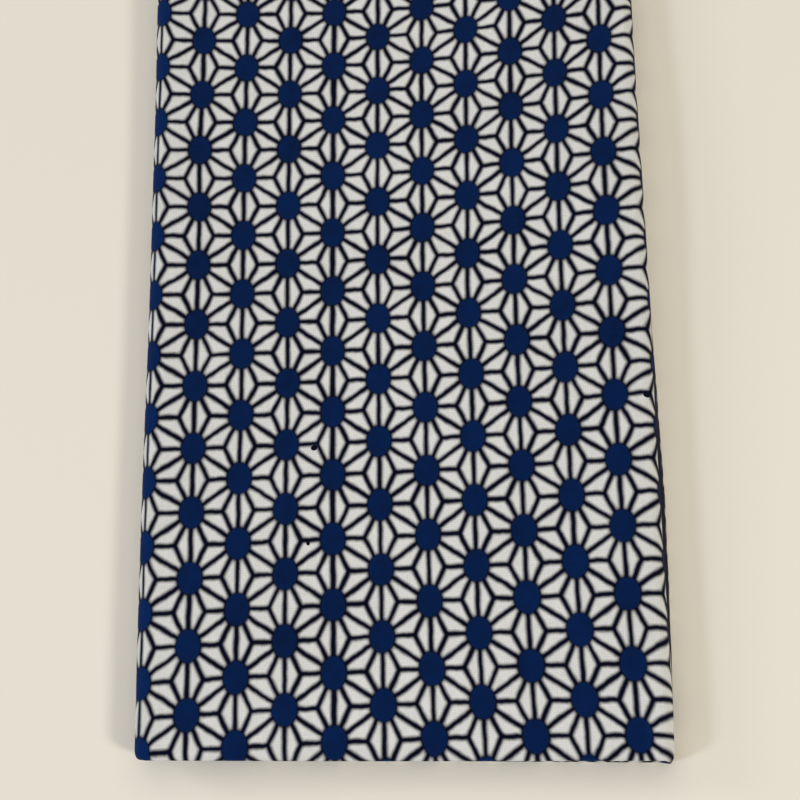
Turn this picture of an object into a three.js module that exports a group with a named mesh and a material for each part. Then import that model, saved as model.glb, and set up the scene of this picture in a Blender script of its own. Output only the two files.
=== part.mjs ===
// A printed cotton hand towel, folded flat: millimetres, +Z up, +X to the right, the front towards -Y.
// The cloth is folded in half lengthwise twice, which makes a band of four plies with a folded front end.
// The band is then folded in thirds across its width: the left flap turned under, then the right one.
// One closed solid holds the whole pile. Its wall stands for two plies of the thin cloth, pressed together.

import * as THREE from "three";

// The cloth and the pile
const LENGTH = 225;            // a quarter of the cloth's 900 mm
const WALL = 1.0;              // two plies of cloth with the air between them
const GAP = 0.3;               // free space between neighbouring layers
const HALF_BAND = WALL + GAP / 2;
const STEP = 2 * HALF_BAND + GAP;

// Height of each band's middle surface above the surface that the towel rests on
const LOW = HALF_BAND;
const MIDDLE = LOW + STEP;
const TOP = MIDDLE + STEP;

// The face rises by this much from its middle to its side folds, where the turned cloth puffs it up
const EDGE_RISE = 0.6;

// Side folds: the radius at the band's middle surface, and out at the surface that shows
const FOLD_RADIUS = (STEP + EDGE_RISE) / 2;
const OUTER_RADIUS = FOLD_RADIUS + HALF_BAND;

// How far the front fold reaches past the flat cloth, on the outside and in the slot between the plies
const NOSE = 2.0;
const SLOT_NOSE = 0.5;
const FAR_ROUND = 0.5;

// Where each flap's free end lies, from the centre line: the left flap reaches right and the right one left
const LEFT_FLAP_END = 48.4;
const RIGHT_FLAP_END = -50.2;

// A ply that lies further out goes further round the fold, so a flap's free end is slanted by a half turn
const SLANT = Math.PI;

// The two side edges, from the centre line, at distances along from the front end, and how far the face is
// tucked in at its right, where the lower part of the right fold sticks out past it
const SIDES = [
  { along: 0, left: 54.9, right: 55.2, tuck: 0.0 },
  { along: 12, left: 55.0, right: 55.6, tuck: 0.1 },
  { along: 25, left: 55.2, right: 56.0, tuck: 0.5 },
  { along: 40, left: 55.3, right: 56.4, tuck: 0.8 },
  { along: 57, left: 55.4, right: 56.7, tuck: 0.95 },
  { along: 75, left: 55.4, right: 56.5, tuck: 0.6 },
  { along: 100, left: 55.3, right: 56.2, tuck: 0.0 },
  { along: 150, left: 55.5, right: 56.2, tuck: 0.0 },
  { along: 185, left: 55.8, right: 56.4, tuck: 0.0 },
  { along: 230, left: 56.7, right: 56.5, tuck: 0.0 },
];

// How far the front edge stays back from its frontmost point, at places round the folded band
const FRONTS = {
  rightFlapEnd: 4.6,
  rightFlapRoot: 0.6,
  rightFold: 0.0,
  faceRight: 0.0,
  faceLeft: 3.4,
  leftFold: 3.9,
  leftFlapRoot: 4.1,
  leftFlapEnd: 4.8,
};
const FRONT_END = -(LENGTH + Math.max(...Object.values(FRONTS))) / 2;

// Where the pile swells, and by what share of its height: the air in a cloth pile lies unevenly
const SWELLS = [
  { x: 56, y: 14, wide: 24, deep: 36, lift: 0.2 },
  { x: -56, y: 100, wide: 30, deep: 75, lift: 0.18 },
];

// How finely each stretch is divided
const FLAP_STEPS = 8;
const FACE_STEPS = 14;
const ARC_STEPS = 6;
const LENGTH_STEPS = 12;
const NOSE_STEPS = 8;
const ROUND_STEPS = 4;

const { lerp, clamp } = THREE.MathUtils;

// Shares 0 to 1 in equal steps, both ends included
function shares(steps) {
  return Array.from({ length: steps + 1 }, (unused, index) => index / steps);
}

// One column of the table of sides, at a place y along the towel
function sideAt(side, y) {
  const along = clamp(y - FRONT_END, SIDES[0].along, SIDES.at(-1).along);
  const next = Math.max(1, SIDES.findIndex((row) => row.along >= along));
  const near = SIDES[next - 1];
  const far = SIDES[next];
  const share = (along - near.along) / (far.along - near.along);
  return lerp(near[side], far[side], THREE.MathUtils.smoothstep(share, 0, 1));
}

// Where the face's left fold, its right fold and the lower part of its right fold start from
function foldRoots(y) {
  const lowRight = sideAt("right", y) - OUTER_RADIUS;
  return { left: OUTER_RADIUS - sideAt("left", y), right: lowRight - sideAt("tuck", y), lowRight };
}

// Height of the face's middle surface at x, where the face's flat part runs between the roots of its folds
function faceHeight(x, roots) {
  const share = (x - (roots.right + roots.left) / 2) / ((roots.right - roots.left) / 2);
  return TOP + EDGE_RISE * share * share;
}

// A point on an arc of the band, pushed out from its middle surface by offset
function onArc(centreX, centreZ, angle, offset) {
  const radius = FOLD_RADIUS + offset;
  return { x: centreX + radius * Math.cos(angle), z: centreZ + radius * Math.sin(angle) };
}

// The stretches of the folded band, in order from the right flap's free end to the left flap's.
// Each gives a point at a share of its run, between the roots of the folds and offset out from the middle.
function rightFlap(share, roots, offset) {
  const end = RIGHT_FLAP_END + SLANT * offset;
  return { x: lerp(end, roots.lowRight, share), z: LOW - offset };
}

function rightFoldBelow(share, roots, offset) {
  return onArc(roots.lowRight, LOW + FOLD_RADIUS, lerp(-Math.PI / 2, 0, share), offset);
}

function rightFoldAbove(share, roots, offset) {
  return onArc(roots.right, TOP + EDGE_RISE - FOLD_RADIUS, lerp(0, Math.PI / 2, share), offset);
}

function face(share, roots, offset) {
  const x = lerp(roots.right, roots.left, share);
  return { x, z: faceHeight(x, roots) + offset };
}

function leftFoldAbove(share, roots, offset) {
  return onArc(roots.left, MIDDLE + FOLD_RADIUS, lerp(Math.PI / 2, Math.PI, share), offset);
}

function leftFoldBelow(share, roots, offset) {
  return onArc(roots.left, MIDDLE + FOLD_RADIUS, lerp(Math.PI, (3 * Math.PI) / 2, share), offset);
}

function leftFlap(share, roots, offset) {
  const end = LEFT_FLAP_END - SLANT * offset;
  return { x: lerp(roots.left, end, share), z: MIDDLE - offset };
}

// Each stretch with its steps, and how far back its front edge lies where it starts and where it ends
const STRETCHES = [
  { shape: rightFlap, steps: FLAP_STEPS, from: FRONTS.rightFlapEnd, to: FRONTS.rightFlapRoot },
  { shape: rightFoldBelow, steps: ARC_STEPS, from: FRONTS.rightFlapRoot, to: FRONTS.rightFold },
  { shape: rightFoldAbove, steps: ARC_STEPS, from: FRONTS.rightFold, to: FRONTS.faceRight },
  { shape: face, steps: FACE_STEPS, from: FRONTS.faceRight, to: FRONTS.faceLeft },
  { shape: leftFoldAbove, steps: ARC_STEPS, from: FRONTS.faceLeft, to: FRONTS.leftFold },
  { shape: leftFoldBelow, steps: ARC_STEPS, from: FRONTS.leftFold, to: FRONTS.leftFlapRoot },
  { shape: leftFlap, steps: FLAP_STEPS, from: FRONTS.leftFlapRoot, to: FRONTS.leftFlapEnd },
];

// The stations round the folded band: a shape, a share of its run and how far back the front edge lies.
// The two halves of the right fold stand apart, so both keep their end, and the other stretches share one.
function bandStations() {
  const stations = [];
  for (const { shape, steps, from, to } of STRETCHES) {
    const first = shape === rightFlap || shape === rightFoldAbove ? 0 : 1;
    for (const share of shares(steps).slice(first)) {
      stations.push({ shape, share, back: lerp(from, to, share) });
    }
  }
  return stations;
}

// The band's outline, seen from its side: a hairpin with its nose in front and its legs open at the far end.
// Each point is a distance along from the front end, and an offset out from the band's middle surface.
function hairpin() {
  const points = [];
  const add = (along, offset) => points.push(new THREE.Vector2(along, offset));
  const slotStart = WALL + SLOT_NOSE;
  const roundStart = LENGTH - FAR_ROUND;

  // The upper leg's outer side, from the raw ends to the nose
  for (const share of shares(LENGTH_STEPS)) {
    add(lerp(LENGTH, NOSE, share), HALF_BAND);
  }
  // The nose, then the lower leg's outer side
  for (const share of shares(NOSE_STEPS).slice(1, -1)) {
    const turn = share * Math.PI;
    add(NOSE * (1 - Math.sin(turn)), HALF_BAND * Math.cos(turn));
  }
  for (const share of shares(LENGTH_STEPS)) {
    add(lerp(NOSE, roundStart, share), -HALF_BAND);
  }
  // The lower leg's far end, where its two plies are one folded cloth
  for (const share of shares(ROUND_STEPS).slice(1, -1)) {
    const turn = share * Math.PI;
    add(roundStart + FAR_ROUND * Math.sin(turn), -HALF_BAND + WALL * (1 - Math.cos(turn)) / 2);
  }
  // The slot between the legs, in along the lower leg and out along the upper one
  for (const share of shares(LENGTH_STEPS)) {
    add(lerp(roundStart, slotStart, share), -GAP / 2);
  }
  add(WALL, 0);
  for (const share of shares(LENGTH_STEPS)) {
    add(lerp(slotStart, LENGTH, share), GAP / 2);
  }
  return points;
}

// The pile's height at a place, as a multiple of its plain height
function swellAt(x, y) {
  const lifts = SWELLS.map((swell) => {
    const across = (x - swell.x) / swell.wide;
    const along = (y - swell.y) / swell.deep;
    return swell.lift * Math.exp(-across * across - along * along);
  });
  return lifts.reduce((total, lift) => total + lift, 1);
}

// One vertex of the towel: a point of the hairpin, carried to a station of the folded band
function vertexAt(station, point) {
  const y = FRONT_END + station.back + point.x;
  const { x, z } = station.shape(station.share, foldRoots(y), point.y);
  return [x, y, z * swellAt(x, y)];
}

// The hairpin swept round the folded band, closed by a cap at each flap's free end
function towelGeometry() {
  const outline = hairpin();
  const stations = bandStations();
  const size = outline.length;
  const indices = [];
  for (let row = 0; row < stations.length - 1; row += 1) {
    for (let column = 0; column < size; column += 1) {
      const a = row * size + column;
      const b = row * size + ((column + 1) % size);
      indices.push(a, b + size, b);
      indices.push(a, a + size, b + size);
    }
  }
  const last = (stations.length - 1) * size;
  for (const [a, b, c] of THREE.ShapeUtils.triangulateShape(outline, [])) {
    indices.push(a, b, c);
    indices.push(last + c, last + b, last + a);
  }
  const vertices = stations.flatMap((station) => outline.flatMap((point) => vertexAt(station, point)));
  const geometry = new THREE.BufferGeometry();
  geometry.setAttribute("position", new THREE.Float32BufferAttribute(vertices, 3));
  geometry.setIndex(indices);
  geometry.computeVertexNormals();
  return geometry;
}

const cotton = new THREE.MeshStandardMaterial({ color: 0xd2d1cc, roughness: 0.9, metalness: 0 });

const towel = new THREE.Mesh(towelGeometry(), cotton);
towel.name = "towel";

const model = new THREE.Group();
model.add(towel);

export default model;
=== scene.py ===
# A printed cotton hand towel, folded flat: one thin cloth that follows every fold of its pile.
# Sizes are in millimetres, and become metres where the mesh, its relief or the camera is made. The lights
# and the floor are written in metres.

import math
from collections import namedtuple

import bpy
import numpy as np
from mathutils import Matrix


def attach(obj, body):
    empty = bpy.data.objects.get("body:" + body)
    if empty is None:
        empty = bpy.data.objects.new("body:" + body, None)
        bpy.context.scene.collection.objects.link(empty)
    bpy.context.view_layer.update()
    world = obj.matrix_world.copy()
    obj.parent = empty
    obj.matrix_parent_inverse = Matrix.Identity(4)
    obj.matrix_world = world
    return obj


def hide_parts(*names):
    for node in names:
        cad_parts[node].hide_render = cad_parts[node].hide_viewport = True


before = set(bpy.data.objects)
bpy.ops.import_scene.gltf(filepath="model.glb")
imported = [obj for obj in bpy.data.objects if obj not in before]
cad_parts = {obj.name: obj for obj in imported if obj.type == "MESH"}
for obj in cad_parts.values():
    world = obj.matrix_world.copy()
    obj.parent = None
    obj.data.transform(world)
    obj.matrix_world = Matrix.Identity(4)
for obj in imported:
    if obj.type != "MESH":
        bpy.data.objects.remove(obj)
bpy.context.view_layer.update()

MM = 0.001

# The pile, as the CAD model has it: three folded bands, each of four plies
LENGTH = 225.0
HALF_BAND = 1.15
STEP = 2.6                      # from one band's middle surface to the next one's
LOW = HALF_BAND
MIDDLE = LOW + STEP
TOP = MIDDLE + STEP
EDGE_RISE = 0.6                 # how far the face rises from its middle to its side folds
FOLD_RADIUS = (STEP + EDGE_RISE) / 2
OUTER_RADIUS = FOLD_RADIUS + HALF_BAND
RIGHT_WALL = TOP + EDGE_RISE - LOW - 2 * FOLD_RADIUS
LEFT_FLAP_END = 48.4
RIGHT_FLAP_END = -50.2

# The cloth in one band, seen from its side: the heights of its plies from the band's middle surface
THICKNESS = 0.4
OUTER_PLY = 0.9
INNER_PLY = 0.3
OUTER_NOSE = 1.8                # how far the front fold reaches past the flat plies, at the cloth's middle
INNER_NOSE = 0.7
NOSE = 2.0                      # where the front fold starts, along from the front end
SLOT_NOSE = 1.4
FAR_ROUND = 0.5

# At the front fold the plies lie square on each other. Over this run towards the back, an outer ply comes
# to lag behind as it goes round a side fold.
SKEW_RUN = 30.0

# The two side edges, from the centre line, at distances along from the front end, and how far the face is
# tucked in at its right, where the lower part of the right fold sticks out past it
SIDES = [
    {"along": 0, "left": 54.9, "right": 55.2, "tuck": 0.0},
    {"along": 12, "left": 55.0, "right": 55.6, "tuck": 0.1},
    {"along": 25, "left": 55.2, "right": 56.0, "tuck": 0.5},
    {"along": 40, "left": 55.3, "right": 56.4, "tuck": 0.8},
    {"along": 57, "left": 55.4, "right": 56.7, "tuck": 0.95},
    {"along": 75, "left": 55.4, "right": 56.5, "tuck": 0.6},
    {"along": 100, "left": 55.3, "right": 56.2, "tuck": 0.0},
    {"along": 150, "left": 55.5, "right": 56.2, "tuck": 0.0},
    {"along": 185, "left": 55.8, "right": 56.4, "tuck": 0.0},
    {"along": 230, "left": 56.7, "right": 56.5, "tuck": 0.0},
]

# How far the front edge stays back from its frontmost point, at places round the folded band
FRONTS = {
    "right_flap_end": 4.6,
    "right_flap_root": 0.6,
    "right_fold": 0.0,
    "face_right": 0.0,
    "face_left": 3.4,
    "left_fold": 3.9,
    "left_flap_root": 4.1,
    "left_flap_end": 4.8,
}
FRONT_END = -(LENGTH + max(FRONTS.values())) / 2

# Where the pile swells, and by what share of its height
SWELLS = [
    {"x": 56, "y": 14, "wide": 24, "deep": 36, "lift": 0.2},
    {"x": -56, "y": 100, "wide": 30, "deep": 75, "lift": 0.18},
]

# The pile's faint unevenness, as a share of its height: long waves both ways, and smaller slanted ones
RIPPLE = 0.018
LONG_WAVES = {"across": 23, "along": 31, "start_across": 0.6, "start_along": 1.1}
SLANTED_WAVES = {"across": 11, "along": 19, "size": 0.5}

# How far a raw end strays from a straight cut: waves, by how fast they turn across the cloth
CUT_WAVES = [
    {"size": 0.25, "rate": 0.43, "start": 0},
    {"size": 0.15, "rate": 1.7, "start": 1},
]

# How far back from the front end the cloth still counts as part of the front fold
FRONT_REACH = 4.0

# How finely the cloth is divided across its folds, and along its plies
FLAP_STEPS = 16
WALL_STEPS = 2
ARC_STEPS = 8
FACE_STEPS = 56
TOP_PLY_STEPS = 90
HIDDEN_PLY_STEPS = 26
NOSE_STEPS = 14
FAR_STEPS = 6

# Edges of the cloth that turn by more degrees than this are shaded as sharp
SHARP_ANGLE = 60

# How much of the bake's square each row or column gets where it is hidden, next to one that shows
HIDDEN_ROW = 0.35
RIGHT_FLAP_COLUMN = 0.8
LEFT_FLAP_COLUMN = 0.3

# Where each part of the cloth lies in the bake's square, from its left to its right and from low to high
BAKE_BOXES = {
    "print_side": {"across": (0.01, 0.85), "along": (0.01, 0.95)},
    "reverse_side": {"across": (0.87, 0.94), "along": (0.01, 0.95)},
    "first_selvedge": {"across": (0.955, 0.965), "along": (0.01, 0.95)},
    "last_selvedge": {"across": (0.975, 0.985), "along": (0.01, 0.95)},
    "first_cut": {"across": (0.01, 0.85), "along": (0.96, 0.968)},
    "last_cut": {"across": (0.01, 0.85), "along": (0.976, 0.984)},
}

# The print: a hemp-leaf lattice, longer along the cloth than across it
COLUMN = 10.1                   # from one column of dots to the next
ROW = 14.24                     # from one dot to the next in a column
STRETCH = ROW / COLUMN
MIDDLE_COLUMN = 5.5             # the lattice place at the print's centre, counted in columns and in rows
MIDDLE_ROW = 5.5
PRINT_CENTRE_X = 1.72
PRINT_CENTRE_Y = -30.72

# The smooth dish that the print was charted on: its height in the middle, and its rise to the side folds
CHART_HEIGHT = 7.5
CHART_RISE = 1.02

# How far the printed cloth is pulled out of square, in columns, at its side folds and at a number of rows
# before and behind the print's centre. The limits, as shares of those distances, are where the pull stops
# growing.
PULL_RIGHT = 0.066              # the whole print to the right, at the front and at the back
PULL_APART = 0.0849             # the columns away from the middle, at the front and at the back
PULL_BACK = 0.0705              # both ends of the rows backwards
PULL_ROWS_APART = 0.2271        # both ends of the rows away from the print's centre
PULL_ROWS = 6
SIDE_LIMIT = 1.1
FRONT_LIMIT = -1.05
BACK_LIMIT = 1.3
PULL_ROUNDS = 6

# Where the printed cloth is pulled sideways a little more, around places in columns and rows
PULLS = [
    {"column": 11, "row": 3.8, "wide": 1.2, "deep": 2.4, "shift": -0.07},
    {"column": 0, "row": 11.3, "wide": 0.6, "deep": 2.0, "shift": -0.09},
    {"column": 1, "row": 1.5, "wide": 0.8, "deep": 0.9, "shift": 0.04},
    {"column": 7, "row": 4, "wide": 0.8, "deep": 0.8, "shift": 0.035},
    {"column": 7.3, "row": 9, "wide": 1.1, "deep": 1.8, "shift": 0.035},
    {"column": 2.7, "row": 5.5, "wide": 1.0, "deep": 1.0, "shift": -0.03},
]

# The two side folds draw the cloth tight along their columns, which squeezes the print there
FOLD_COLUMNS = (0, 11)
SQUEEZE = 0.5
SQUEEZE_REACH = 0.3

# The dots and the lines of a quarter of the hemp-leaf cell, in columns
HALF_ROW = STRETCH / 2
LEAF_DOTS = [(0, 0), (1, HALF_ROW)]
LEAF_LINES = [
    ((0, 0), (1, HALF_ROW)),
    ((0, 0), (1 / 3, HALF_ROW)),
    ((1 / 3, HALF_ROW), (1, HALF_ROW)),
    ((0, 0), (2 / 3, 0)),
    ((2 / 3, 0), (1, HALF_ROW)),
]

# The ink, in columns: half a line's width, each dot and the dark ring under it, how soft an edge is, and
# how far the ink fills the corners between lines
LINE_HALF_WIDTH = 0.0635
DOT_SIZE = (0.252, 0.338)
RING_SIZE = (0.304, 0.39)
INK_EDGE = 0.046
FILLET = 0.05

# How soft the edges of the dots and the blots are, as shares of their size
DOT_EDGE = 0.06
BLOT_EDGE = 0.15

# Noise that moves the ink about and that makes the lines wider and narrower, in columns
WOBBLE = {"scale": 4.0, "detail": 4.0}
WOBBLE_SIZE = 0.04
LINE_SWELL = {"scale": 1.3, "detail": 1.0}
LINE_SWELL_SIZE = 0.02

# Columns whose upright lines are printed wider or narrower than the rest
UPRIGHTS = [
    {"column": 0, "extra": -0.008},
    {"column": 1, "extra": 0.006},
    {"column": 4, "extra": 0.01},
]

# Dark marks at places in columns and rows: four small blots of ink, and a long dark strip painted along
# the right fold
BLOTS = [
    {"column": 3.603, "row": 6.562, "wide": 0.075, "deep": 0.046},
    {"column": 3.48, "row": 8.045, "wide": 0.042, "deep": 0.048},
    {"column": 10.62, "row": 6.034, "wide": 0.07, "deep": 0.05},
    {"column": 10.816, "row": 9.137, "wide": 0.05, "deep": 0.036},
    # A long dark strip painted along the right fold, as dark as the lines
    {"column": 11.03, "row": 7.3, "wide": 0.21, "deep": 3.4},
]

# The weave
THREAD = 0.5                    # from one thread to the next
THREAD_RISE = 0.5               # how much a thread rises over its neighbour, as a share of its height
THREAD_RELIEF = 0.045           # how far a thread stands out
SLUB_RELIEF = 1.2               # how far a slub stands out, next to a thread

# How often the cloth changes in a millimetre: its slubs across it and along it, and its soft unevenness
UPRIGHT_SLUBS = (2.2, 0.09)
LEVEL_SLUBS = (0.11, 2.4)
CLOUD = {"scale": 0.3, "detail": 4.0, "roughness": 0.6}
DRIFT = {"scale": 0.05, "detail": 1.0}

# Colours as a screen shows them, 0 to 255
DOT_NAVY = (0, 27, 70)
LINE_NAVY = (0, 2, 26)
COTTON_WHITE = (223, 221, 216)
FLOOR_WHITE = (240, 232, 217)

# How bright bare cotton is, and what each look of the cloth adds to that: a share of how far that look is
# above its level. Slubs and soft stains show. The threads carry painted shade in the gaps of the weave,
# and painted shade darkens the cotton towards its side folds and its front fold.
BRIGHTNESS = 0.963
BRIGHTNESS_ADDS = [
    # Painted shade in the gaps between the threads: the cotton is lighter where the weave stands higher
    {"look": "threads", "level": 0, "share": 0.04},
    {"look": "slubs", "level": 0.5, "share": 0.14},
    {"look": "cloud", "level": 0.5, "share": 0.17},
    {"look": "drift", "level": 0.5, "share": 0.06},
    # Painted shade towards the side folds and the front fold
    {"look": "edge", "level": 0, "share": -0.06},
]

# The same for how bright the ink is: it lies unevenly, and its dots are a little lighter on the folds
INK_BRIGHTNESS = 1.0
INK_ADDS = [
    {"look": "cloud", "level": 0.5, "share": 0.7},
    {"look": "drift", "level": 0.5, "share": 0.5},
    {"look": "threads", "level": 0.8, "share": 0.12},
    {"look": "folded_dots", "level": 0, "share": 0.4},
]
FOLD_START = 0.85               # how near to a fold a place counts as lying on it, where 1 is the fold
REVERSE_FADE = 0.55             # the share of the ink that doesn't show on the reverse

# The same for how rough the cloth is, and the rest of its gloss
ROUGHNESS = 0.84
ROUGHNESS_ADDS = [
    {"look": "cloud", "level": 0, "share": 0.12},
    {"look": "ink", "level": 0, "share": -0.06},
]
SHEEN = 0.03
SPECULAR = 0.07

# The floor and its gloss
FLOOR_HALF_SIZE = 4.0
FLOOR_ROUGHNESS = 0.8
FLOOR_SPECULAR = 0.1

# Soft square lights that look at the middle of the towel, in metres and watts
LIGHTS = {
    "right_light": {"place": (0.95, -0.75, 0.92), "size": 0.27, "power": 8.4, "tint": (1.0, 1.0, 0.95)},
    "left_light": {"place": (-1.05, -0.6, 0.87), "size": 0.27, "power": 6.8, "tint": (0.68, 0.78, 1.0)},
    "low_light": {"place": (-2.0, 0.6, 0.85), "size": 0.5, "power": 9.5, "tint": (0.85, 0.93, 1.0)},
    "top_light": {"place": (0.05, 0.28, 1.0), "size": 1.5, "power": 4.85, "tint": (1.0, 0.96, 0.91)},
}

# The light that comes from everywhere else
SKY_TINT = (1.0, 0.96, 0.87, 1.0)
SKY_STRENGTH = 0.23

# The camera, where the photograph was taken from: its place, how it is turned in degrees, and its lens
CAMERA_PLACE = (42.9, -176.5, 381.4)
CAMERA_TURN = (20.415, 6.626, -0.750)
LENS = 83.78
SENSOR_WIDTH = 36.0


def side_at(side, y):
    """One column of the table of sides, at places y along the towel."""
    rows = [row["along"] for row in SIDES]
    along = np.clip(y - FRONT_END, rows[0], rows[-1])
    near = np.clip(np.searchsorted(rows, along, side="right") - 1, 0, len(rows) - 2)
    start = np.take(rows, near)
    share = (along - start) / (np.take(rows, near + 1) - start)
    smooth = share * share * (3 - 2 * share)
    values = [row[side] for row in SIDES]
    return np.take(values, near) * (1 - smooth) + np.take(values, near + 1) * smooth


# Where the face's left fold, its right fold and the lower part of its right fold start from
Roots = namedtuple("Roots", "left right low_right")


def fold_roots(y):
    """The roots of the folds at places y along the towel."""
    low_right = side_at("right", y) - OUTER_RADIUS
    return Roots(OUTER_RADIUS - side_at("left", y), low_right - side_at("tuck", y), low_right)


# The stretches of the folded band, from the right flap's free end to the left flap's. Each gives x, z and
# the distance across the flat cloth, at a share of its run and at offsets out from the middle surface.
def right_flap(share, roots, offset):
    start = RIGHT_FLAP_END + math.pi * offset
    x = start + share * (roots.low_right - start)
    around = math.pi * (FOLD_RADIUS + offset) + RIGHT_WALL
    return x, LOW - offset, roots.right + around + (roots.low_right - x)


def right_fold_below(share, roots, offset):
    turn = share * math.pi / 2
    radius = FOLD_RADIUS + offset
    x = roots.low_right + radius * math.sin(turn)
    z = LOW + FOLD_RADIUS - radius * math.cos(turn)
    return x, z, roots.right + RIGHT_WALL + radius * (math.pi - turn)


def right_wall(share, roots, offset):
    radius = FOLD_RADIUS + offset
    x = roots.low_right + share * (roots.right - roots.low_right) + radius
    z = np.full_like(x, LOW + FOLD_RADIUS + share * RIGHT_WALL)
    return x, z, roots.right + RIGHT_WALL * (1 - share) + radius * math.pi / 2


def right_fold_above(share, roots, offset):
    turn = share * math.pi / 2
    radius = FOLD_RADIUS + offset
    x = roots.right + radius * math.cos(turn)
    z = TOP + EDGE_RISE - FOLD_RADIUS + radius * math.sin(turn)
    return x, z, roots.right + radius * (math.pi / 2 - turn)


def face(share, roots, offset):
    x = roots.right * (1 - share) + roots.left * share
    return x, TOP + EDGE_RISE * (2 * share - 1) ** 2 + offset, x


def left_fold(share, roots, offset):
    turn = share * math.pi
    radius = FOLD_RADIUS + offset
    x = roots.left - radius * math.sin(turn)
    z = MIDDLE + FOLD_RADIUS + radius * math.cos(turn)
    return x, z, roots.left - radius * turn


def left_flap(share, roots, offset):
    end = LEFT_FLAP_END - math.pi * offset
    x = roots.left + share * (end - roots.left)
    return x, MIDDLE - offset, roots.left - math.pi * (FOLD_RADIUS + offset) - (x - roots.left)


# Each stretch with its steps, and the places of its front edge in the table of fronts, evenly spaced
STRETCHES = [
    {"shape": right_flap, "steps": FLAP_STEPS, "fronts": ["right_flap_end", "right_flap_root"]},
    {"shape": right_fold_below, "steps": ARC_STEPS, "fronts": ["right_flap_root", "right_fold"]},
    {"shape": right_wall, "steps": WALL_STEPS, "fronts": ["right_fold", "right_fold"]},
    {"shape": right_fold_above, "steps": ARC_STEPS, "fronts": ["right_fold", "face_right"]},
    {"shape": face, "steps": FACE_STEPS, "fronts": ["face_right", "face_left"]},
    {"shape": left_fold, "steps": 2 * ARC_STEPS, "fronts": ["face_left", "left_fold", "left_flap_root"]},
    {"shape": left_flap, "steps": FLAP_STEPS, "fronts": ["left_flap_root", "left_flap_end"]},
]


def stations():
    """Places round the folded band: a stretch, a share of its run and how far back its front edge lies."""
    found = []
    for stretch in STRETCHES:
        backs = [FRONTS[name] for name in stretch["fronts"]]
        spread = np.linspace(0, 1, len(backs))
        for step in range(1 if found else 0, stretch["steps"] + 1):
            share = step / stretch["steps"]
            found.append((stretch["shape"], share, np.interp(share, spread, backs)))
    return found


def straight(start, end, steps):
    """Places from start to end in equal steps, without the last one."""
    return start + (end - start) * np.arange(steps) / steps


def nose(centre, reach, half_height, way):
    """Half an ellipse round the front of the band, without its last point. It starts above the band's
    middle surface where way is 1, and below it where way is -1."""
    turn = math.pi * np.arange(NOSE_STEPS) / NOSE_STEPS
    return centre - reach * np.sin(turn), way * half_height * np.cos(turn)


def section(side):
    """The cloth's own line through one band, on its print side (1), reverse side (-1) or middle (0).
    It runs from the raw end on top to the raw end inside: distances along from the front, and offsets."""
    half = side * THICKNESS / 2
    far = LENGTH - FAR_ROUND
    fold_height = (OUTER_PLY + INNER_PLY) / 2
    fold_radius = (OUTER_PLY - INNER_PLY) / 2 + half
    turn = math.pi * np.arange(FAR_STEPS) / FAR_STEPS
    parts = [
        (straight(LENGTH, NOSE, TOP_PLY_STEPS), OUTER_PLY + half),
        nose(NOSE, OUTER_NOSE + half, OUTER_PLY + half, 1),
        (straight(NOSE, far, HIDDEN_PLY_STEPS), -OUTER_PLY - half),
        (far + fold_radius * np.sin(turn), -fold_height - fold_radius * np.cos(turn)),
        (straight(far, SLOT_NOSE, HIDDEN_PLY_STEPS), -INNER_PLY + half),
        nose(SLOT_NOSE, INNER_NOSE - half, INNER_PLY - half, -1),
        (straight(SLOT_NOSE, LENGTH, HIDDEN_PLY_STEPS), INNER_PLY - half),
        (np.array([LENGTH]), INNER_PLY - half),
    ]
    along = np.concatenate([places for places, _ in parts])
    offset = np.concatenate([np.broadcast_to(heights, places.shape) for places, heights in parts])
    return along, offset


def ripple(x, y):
    """The pile's faint unevenness at a place, as a share of its height."""
    across = np.sin(x / LONG_WAVES["across"] + LONG_WAVES["start_across"])
    along = np.sin(y / LONG_WAVES["along"] + LONG_WAVES["start_along"])
    slanted = np.sin(x / SLANTED_WAVES["across"] - y / SLANTED_WAVES["along"])
    return RIPPLE * (across * along + SLANTED_WAVES["size"] * slanted)


def swollen(x, y, z):
    """A height in the pile, lifted where the pile swells. The lift is smooth, so no two plies can meet."""
    lift = 1.0
    for swell in SWELLS:
        across = (x - swell["x"]) / swell["wide"]
        along = (y - swell["y"]) / swell["deep"]
        lift = lift + swell["lift"] * np.exp(-(across**2) - along**2)
    return z * (lift + ripple(x, y))


def uneven_cut(across):
    """How far a raw end strays from a straight cut."""
    return sum(wave["size"] * np.sin(across * wave["rate"] + wave["start"]) for wave in CUT_WAVES)


def edge_share(shape, share, along):
    """How near a fold a place lies: 1 on the side folds and at the front, and 0 in the middle of a ply."""
    side = 1.0
    if shape is face:
        side = (2 * share - 1) ** 2
    if shape in (left_flap, right_flap):
        side = 0.0
    return np.maximum(side, np.clip(1 - along / FRONT_REACH, 0, 1))


def cloth_points(side):
    """The places of one side of the cloth, a row for each point of its section and a column for each
    station: x, y, z, the distances across and along the flat cloth, and how near a fold each place is."""
    along, offset = section(side)
    middle_along, middle_offset = section(0)
    run = np.hypot(np.diff(middle_along), np.diff(middle_offset))
    used = np.concatenate([[0], np.cumsum(run)])
    columns = []
    for shape, share, back in stations():
        y = FRONT_END + back + along
        roots = fold_roots(y)
        x, z, _ = shape(share, roots, offset)
        _, _, across = shape(share, roots, offset * np.clip(along / SKEW_RUN, 0, 1))
        flat_along = FRONT_END + back + LENGTH - used
        edge = edge_share(shape, share, along)

        # The section starts and ends at the cloth's two raw ends
        y[[0, -1]] += uneven_cut(across[[0, -1]])
        columns.append(np.stack([x, y, swollen(x, y, z), across, flat_along, edge], axis=1))
    return np.stack(columns, axis=1)


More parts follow.
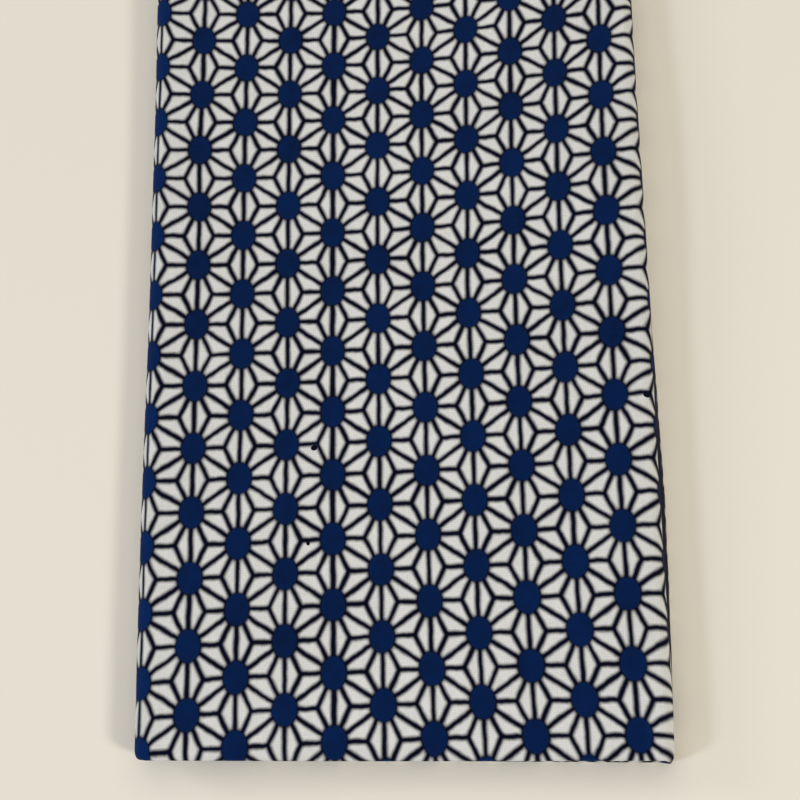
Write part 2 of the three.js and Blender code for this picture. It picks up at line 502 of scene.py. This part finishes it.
def charted(across, along):
    """Where the camera sees a place of the face on the smooth dish that the print was charted on."""
    half = SIDES[0]["left"] - OUTER_RADIUS
    x = np.clip(across, -half, half)
    y = np.clip(along, FRONT_END, -FRONT_END)
    height = swollen(x, y, TOP + OUTER_PLY + THICKNESS / 2 + EDGE_RISE * (x / half) ** 2)
    dish = CHART_HEIGHT + CHART_RISE * (x / half) ** 2
    lean = (dish - height) / (height - CAMERA_PLACE[2])
    return across + lean * (x - CAMERA_PLACE[0]), along + lean * (y - CAMERA_PLACE[1])


def print_place(across, along):
    """Where the print's lattice lies on the cloth, in columns and rows. How far a place is pulled depends
    on where it lies in the lattice, so the two are found together in a few rounds."""
    across, along = charted(across, along)
    x = (across - PRINT_CENTRE_X) / COLUMN
    y = (along - PRINT_CENTRE_Y) / COLUMN
    column, row = x, y
    for _ in range(PULL_ROUNDS):
        wide = np.clip(column / MIDDLE_COLUMN, -SIDE_LIMIT, SIDE_LIMIT)
        deep = np.clip(row / (PULL_ROWS * STRETCH), FRONT_LIMIT, BACK_LIMIT)
        column = x - PULL_RIGHT * deep**2 - PULL_APART * wide * deep**2
        row = y - PULL_ROWS_APART * wide**2 * deep - PULL_BACK * wide**2
    return pulled(MIDDLE_COLUMN + column, MIDDLE_ROW - row / STRETCH)


def pulled(column, row):
    """Places of the lattice once the local pulls and the squeeze along the side folds are in."""
    for pull in PULLS:
        across = (column - pull["column"]) / pull["wide"]
        along = (row - pull["row"]) / pull["deep"]
        column = column + pull["shift"] * np.exp(-(across**2) - along**2)
    for middle in FOLD_COLUMNS:
        away = column - middle
        column = column + SQUEEZE * away * np.exp(-((away / SQUEEZE_REACH) ** 2))
    return column, row


def running(steps):
    """Running totals from 0 to 1 of a list of step sizes."""
    total = np.concatenate([[0], np.cumsum(steps)])
    return total / total[-1]


def bake_shares(rows, columns):
    """How far across and along its box each column and row lies in the bake: what is hidden gets less."""
    row_size = np.full(rows - 1, HIDDEN_ROW)
    row_size[: TOP_PLY_STEPS + NOSE_STEPS] = 1.0
    column_size = np.full(columns - 1, 1.0)
    column_size[:FLAP_STEPS] = RIGHT_FLAP_COLUMN
    column_size[-FLAP_STEPS:] = LEFT_FLAP_COLUMN
    return running(column_size), running(row_size)


def bake_grid(part, across, along):
    """A grid of places in the bake's square, from shares across and along the box of one part."""
    left, right = BAKE_BOXES[part]["across"]
    bottom, top = BAKE_BOXES[part]["along"]
    u = left + (right - left) * across
    v = bottom + (top - bottom) * along
    return np.stack(np.broadcast_arrays(u, v), axis=2)


def cells(grid, turned):
    """The four corners of each cell of a grid, in order round it, or the other way round if turned."""
    corners = [grid[:-1, :-1], grid[:-1, 1:], grid[1:, 1:], grid[1:, :-1]]
    if turned:
        corners.reverse()
    return np.stack(corners, axis=2).reshape(-1, 4, *grid.shape[2:])


def cloth_mesh():
    """One closed thin cloth: its print side, its reverse side and the four edges between them. Gives its
    points, and for each corner of each of its faces the number of a point and a place in the bake."""
    sides = np.stack([cloth_points(1), cloth_points(-1)])
    rows, columns = sides.shape[1:3]
    number = np.arange(2 * rows * columns).reshape(2, rows, columns)
    across, along = bake_shares(rows, columns)
    ends = np.array([0.0, 1.0])
    parts = [
        (number[0], bake_grid("print_side", across, along[:, None]), True),
        (number[1], bake_grid("reverse_side", across, along[:, None]), False),
        (number[:, :, 0], bake_grid("first_selvedge", ends[:, None], along), False),
        (number[:, :, -1], bake_grid("last_selvedge", ends[:, None], along), True),
        (number[:, 0], bake_grid("first_cut", across, ends[:, None]), True),
        (number[:, -1], bake_grid("last_cut", across, ends[:, None]), False),
    ]
    faces = np.concatenate([cells(numbers, turned) for numbers, _, turned in parts])
    bake = np.concatenate([cells(places, turned) for _, places, turned in parts])
    return sides.reshape(-1, sides.shape[-1]), faces, bake


def give_attribute(mesh, name, values):
    mesh.attributes.new(name, "FLOAT", "POINT").data.foreach_set("value", values.astype("f"))


def give_layer(mesh, name, places):
    mesh.uv_layers.new(name=name).uv.foreach_set("vector", places.ravel().astype("f"))


def make_cloth():
    points, faces, bake = cloth_mesh()
    x, y, z, across, along, edge = points.T
    mesh = bpy.data.meshes.new("towel_cloth")
    mesh.from_pydata(np.stack([x, y, z], axis=1) * MM, [], faces)
    mesh.shade_smooth()
    mesh.set_sharp_from_angle(angle=math.radians(SHARP_ANGLE))
    lattice = np.stack(print_place(across, along), axis=1)
    give_layer(mesh, "Print", lattice[faces])
    give_layer(mesh, "OFBake", bake)
    give_attribute(mesh, "edge", edge)
    give_attribute(mesh, "reverse", np.repeat([0.0, 1.0], len(points) // 2))
    piece = bpy.data.objects.new("towel_cloth", mesh)
    bpy.context.scene.collection.objects.link(piece)
    return piece


class Shader:
    """Short names for making and joining a material's nodes."""

    def __init__(self, name):
        self.material = bpy.data.materials.new(name)
        self.material.use_nodes = True
        self.tree = self.material.node_tree
        self.surface = self.tree.nodes["Principled BSDF"]

    def node(self, kind, **settings):
        made = self.tree.nodes.new(kind)
        for name, value in settings.items():
            setattr(made, name, value)
        return made

    def put(self, value, socket):
        """Joins another node's output to a socket, or sets the socket to a plain value."""
        if isinstance(value, bpy.types.NodeSocket):
            self.tree.links.new(value, socket)
        else:
            socket.default_value = value

    def math(self, operation, *values, clamp=False):
        made = self.node("ShaderNodeMath", operation=operation, use_clamp=clamp)
        for value, socket in zip(values, made.inputs):
            self.put(value, socket)
        return made.outputs["Value"]

    def vector(self, operation, *values, output="Vector"):
        made = self.node("ShaderNodeVectorMath", operation=operation)
        for value, socket in zip(values, made.inputs):
            self.put(value, socket)
        return made.outputs[output]

    def parts(self, vector):
        """The first two numbers of a vector."""
        made = self.node("ShaderNodeSeparateXYZ")
        self.put(vector, made.inputs[0])
        return made.outputs["X"], made.outputs["Y"]

    def joined(self, x, y):
        made = self.node("ShaderNodeCombineXYZ")
        self.put(x, made.inputs["X"])
        self.put(y, made.inputs["Y"])
        return made.outputs["Vector"]

    def scaled(self, vector, scale):
        made = self.node("ShaderNodeVectorMath", operation="SCALE")
        self.put(vector, made.inputs[0])
        self.put(scale, made.inputs["Scale"])
        return made.outputs["Vector"]

    def step(self, value, low, high):
        """0 at low and 1 at high, with a soft curve between them."""
        made = self.node("ShaderNodeMapRange", interpolation_type="SMOOTHSTEP")
        for name, number in (("Value", value), ("From Min", low), ("From Max", high)):
            self.put(number, made.inputs[name])
        return made.outputs["Result"]

    def noise(self, place, scale, detail=2.0, roughness=0.5):
        """Soft noise around 0.5, as one number from Fac or as three from Color."""
        made = self.node("ShaderNodeTexNoise", noise_dimensions="2D")
        self.put(place, made.inputs["Vector"])
        self.put(scale, made.inputs["Scale"])
        self.put(detail, made.inputs["Detail"])
        self.put(roughness, made.inputs["Roughness"])
        return made

    def mix(self, share, first, second):
        """Two colours mixed. The colour sockets share their names with others, so numbers pick them."""
        made = self.node("ShaderNodeMix", data_type="RGBA")
        sockets = [made.inputs["Factor"], made.inputs[6], made.inputs[7]]
        for value, socket in zip((share, first, second), sockets):
            self.put(value, socket)
        return made.outputs[2]

    def summed(self, plain, adds, looks):
        """A plain value, plus what each row of a table adds: a share of its look above a level."""
        total = plain
        for row in adds:
            above = self.math("SUBTRACT", looks[row["look"]], row["level"])
            total = self.math("MULTIPLY_ADD", above, row["share"], total)
        return total

    def attribute(self, name):
        return self.node("ShaderNodeAttribute", attribute_name=name).outputs["Fac"]


def colour(red, green, blue):
    """A colour written as a screen shows it, 0 to 255, as the linear light that Blender uses."""
    parts = [value / 255 for value in (red, green, blue)]
    linear = [part / 12.92 if part <= 0.04045 else ((part + 0.055) / 1.055) ** 2.4 for part in parts]
    return (*linear, 1.0)


def segment_gap(shader, place, start, end):
    """The distance from a place to a straight line of the pattern."""
    run = (end[0] - start[0], end[1] - start[1], 0.0)
    size = run[0] ** 2 + run[1] ** 2
    reach = shader.vector("SUBTRACT", place, (*start, 0.0))
    share = shader.vector("DOT_PRODUCT", reach, (run[0] / size, run[1] / size, 0.0), output="Value")
    share = shader.math("MULTIPLY", share, 1.0, clamp=True)
    return shader.vector("DISTANCE", reach, shader.scaled(run, share), output="Value")


def oval_size(shader, spot, centre, oval):
    """How far a place lies from the centre of an oval, 1 at its rim."""
    reach = shader.vector("DIVIDE", shader.vector("SUBTRACT", spot, (*centre, 0.0)), (*oval, 1.0))
    return shader.vector("LENGTH", reach, output="Value")


def upright_gap(shader, column, across):
    """The distance from a place to its nearest upright line, less where that line is a wide one."""
    nearest = shader.math("ROUND", column)
    gap = shader.math("MINIMUM", across, shader.math("SUBTRACT", 1.0, across))
    for row in UPRIGHTS:
        here = shader.math("COMPARE", nearest, row["column"], 0.1)
        gap = shader.math("SUBTRACT", gap, shader.math("MULTIPLY", here, row["extra"]))
    return gap


def leaf_gap(shader, spot, gap):
    """The distance from a place of the quarter cell to its nearest line or dark ring, with soft corners.
    The distance to its nearest upright line is given."""
    for start, end in LEAF_LINES:
        gap = shader.math("SMOOTH_MIN", gap, segment_gap(shader, spot, start, end), FILLET)
    for centre in LEAF_DOTS:
        size = oval_size(shader, spot, centre, RING_SIZE)
        ring = shader.math("MULTIPLY_ADD", size, RING_SIZE[0], LINE_HALF_WIDTH - RING_SIZE[0])
        gap = shader.math("SMOOTH_MIN", gap, ring, FILLET)
    return gap


def wobbled(shader, place):
    """A place of the print, moved a little one way or another."""
    noise = shader.noise(place, **WOBBLE).outputs["Color"]
    shift = shader.scaled(shader.vector("SUBTRACT", noise, (0.5, 0.5, 0.5)), WOBBLE_SIZE)
    return shader.vector("ADD", place, shift)


def blotted(shader, place, lines, dots):
    """The line ink and the dot ink with the blots over them. A blot is dark, as the lines are."""
    for blot in BLOTS:
        size = oval_size(shader, place, (blot["column"], blot["row"]), (blot["wide"], blot["deep"]))
        stain = shader.step(size, 1 + BLOT_EDGE, 1 - BLOT_EDGE)
        lines = shader.math("MAXIMUM", lines, stain)
        dots = shader.math("MINIMUM", dots, shader.math("SUBTRACT", 1.0, stain))
    return lines, dots


def leaf_print(shader, place):
    """How much line ink and dot ink lies at a place of the print: two numbers from 0 to 1."""
    moved = wobbled(shader, place)
    column, row = shader.parts(moved)

    # The place folded into a quarter cell: across from an even column, and along from a whole row
    across = shader.math("PINGPONG", column, 1.0)
    along = shader.math("MULTIPLY", shader.math("PINGPONG", row, 0.5), STRETCH)
    spot = shader.joined(across, along)

    gap = leaf_gap(shader, spot, upright_gap(shader, column, across))
    swell = shader.noise(place, **LINE_SWELL).outputs["Fac"]
    narrowest = LINE_HALF_WIDTH - LINE_SWELL_SIZE / 2
    gap = shader.math("SUBTRACT", gap, shader.math("MULTIPLY_ADD", swell, LINE_SWELL_SIZE, narrowest))
    lines = shader.step(gap, INK_EDGE, -INK_EDGE)

    sizes = [oval_size(shader, spot, centre, DOT_SIZE) for centre in LEAF_DOTS]
    dots = shader.step(shader.math("MINIMUM", *sizes), 1 + DOT_EDGE, 1 - DOT_EDGE)
    return blotted(shader, moved, lines, dots)


def wave(shader, value):
    """The sine of a value counted in half turns."""
    return shader.math("SINE", shader.math("MULTIPLY", value, math.pi))


def weave(shader, cloth):
    """The height of a plain weave, about 0 to 1.5. Each thread goes over one neighbour, under the next."""
    x, y = shader.parts(shader.scaled(cloth, 1 / THREAD))
    upright = shader.math("ABSOLUTE", wave(shader, x))
    level = shader.math("ABSOLUTE", wave(shader, y))
    upright_rise = wave(shader, shader.math("ADD", y, shader.math("FLOOR", x)))
    level_rise = wave(shader, shader.math("ADD", x, shader.math("FLOOR", y)))
    upright = shader.math("MULTIPLY_ADD", upright_rise, THREAD_RISE, upright)
    level = shader.math("MULTIPLY_ADD", level_rise, -THREAD_RISE, level)
    return shader.math("MAXIMUM", upright, level)


def slubs(shader, cloth):
    """Thicker and thinner lengths of thread, both ways of the cloth: a number around 0.5."""
    total = 0.0
    for rates in (UPRIGHT_SLUBS, LEVEL_SLUBS):
        noise = shader.noise(shader.vector("MULTIPLY", cloth, (*rates, 1.0)), 1.0, 1.0)
        total = shader.math("ADD", total, noise.outputs["Fac"])
    return shader.math("MULTIPLY", total, 0.5)


def cloth_looks(shader, cloth):
    """The looks of the plain cloth at a place in millimetres across and along it: one number for each."""
    return {
        "threads": weave(shader, cloth),
        "slubs": slubs(shader, cloth),
        "cloud": shader.noise(cloth, **CLOUD).outputs["Fac"],
        "drift": shader.noise(cloth, **DRIFT).outputs["Fac"],
        "edge": shader.attribute("edge"),
    }


def add_relief(shader, looks):
    """The threads and slubs stand out from the cloth."""
    bump = shader.node("ShaderNodeBump")
    height = shader.math("MULTIPLY_ADD", looks["slubs"], SLUB_RELIEF, looks["threads"])
    shader.put(height, bump.inputs["Height"])
    shader.put(THREAD_RELIEF * MM, bump.inputs["Distance"])
    shader.put(bump.outputs["Normal"], shader.surface.inputs["Normal"])


def printed_cotton():
    """Plain-weave cotton, off-white with a navy hemp-leaf print that shows paler on its reverse."""
    shader = Shader("printed_cotton")
    place = shader.node("ShaderNodeUVMap", uv_map="Print").outputs["UV"]
    looks = cloth_looks(shader, shader.vector("MULTIPLY", place, (COLUMN, ROW, 0.0)))

    # How much of each ink there is
    lines, dots = leaf_print(shader, place)
    shown = shader.math("MULTIPLY_ADD", shader.attribute("reverse"), -REVERSE_FADE, 1.0)
    looks["ink"] = shader.math("MULTIPLY", shader.math("MAXIMUM", lines, dots), shown)
    looks["folded_dots"] = shader.math("MULTIPLY", shader.step(looks["edge"], FOLD_START, 1.0), dots)

    # The colour of the cotton, of the ink and of both together
    cotton = shader.scaled(colour(*COTTON_WHITE)[:3], shader.summed(BRIGHTNESS, BRIGHTNESS_ADDS, looks))
    ink = shader.mix(dots, colour(*LINE_NAVY), colour(*DOT_NAVY))
    ink = shader.scaled(ink, shader.summed(INK_BRIGHTNESS, INK_ADDS, looks))
    shader.put(shader.mix(looks["ink"], cotton, ink), shader.surface.inputs["Base Color"])

    shader.put(shader.summed(ROUGHNESS, ROUGHNESS_ADDS, looks), shader.surface.inputs["Roughness"])
    shader.put(SHEEN, shader.surface.inputs["Sheen Weight"])
    shader.put(SPECULAR, shader.surface.inputs["Specular IOR Level"])
    add_relief(shader, looks)
    return shader.material


def plain_floor():
    shader = Shader("pale_floor")
    shader.put(colour(*FLOOR_WHITE), shader.surface.inputs["Base Color"])
    shader.put(FLOOR_ROUGHNESS, shader.surface.inputs["Roughness"])
    shader.put(FLOOR_SPECULAR, shader.surface.inputs["Specular IOR Level"])
    return shader.material


def make_floor():
    half = FLOOR_HALF_SIZE
    mesh = bpy.data.meshes.new("floor")
    corners = [(-half, -half, 0), (half, -half, 0), (half, half, 0), (-half, half, 0)]
    mesh.from_pydata(corners, [], [(0, 1, 2, 3)])
    mesh.materials.append(plain_floor())
    floor = bpy.data.objects.new("floor", mesh)
    bpy.context.scene.collection.objects.link(floor)


def make_light(name, place, size, power, tint):
    """A soft square light that looks at the middle of the towel. Its place and size are in metres."""
    light = bpy.data.lights.new(name, "AREA")
    light.shape = "SQUARE"
    light.size = size
    light.energy = power
    light.color = tint
    holder = bpy.data.objects.new(name, light)
    holder.location = place
    direction = -holder.location.normalized()
    holder.rotation_euler = direction.to_track_quat("-Z", "Y").to_euler()
    bpy.context.scene.collection.objects.link(holder)


def make_studio():
    scene = bpy.context.scene
    scene.view_settings.view_transform = "Standard"
    scene.world = bpy.data.worlds.new("studio")
    scene.world.use_nodes = True
    background = scene.world.node_tree.nodes["Background"]
    background.inputs["Color"].default_value = SKY_TINT
    background.inputs["Strength"].default_value = SKY_STRENGTH
    for name, light in LIGHTS.items():
        make_light(name, **light)


def make_camera():
    scene = bpy.context.scene
    camera = bpy.data.cameras.new("camera")
    camera.lens = LENS
    camera.sensor_width = SENSOR_WIDTH
    holder = bpy.data.objects.new("camera", camera)
    holder.location = [value * MM for value in CAMERA_PLACE]
    holder.rotation_euler = [math.radians(value) for value in CAMERA_TURN]
    scene.collection.objects.link(holder)
    scene.camera = holder


make_camera()
make_studio()
make_floor()

cloth = make_cloth()
cloth.data.materials.append(printed_cotton())
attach(cloth, "root")
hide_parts("towel")
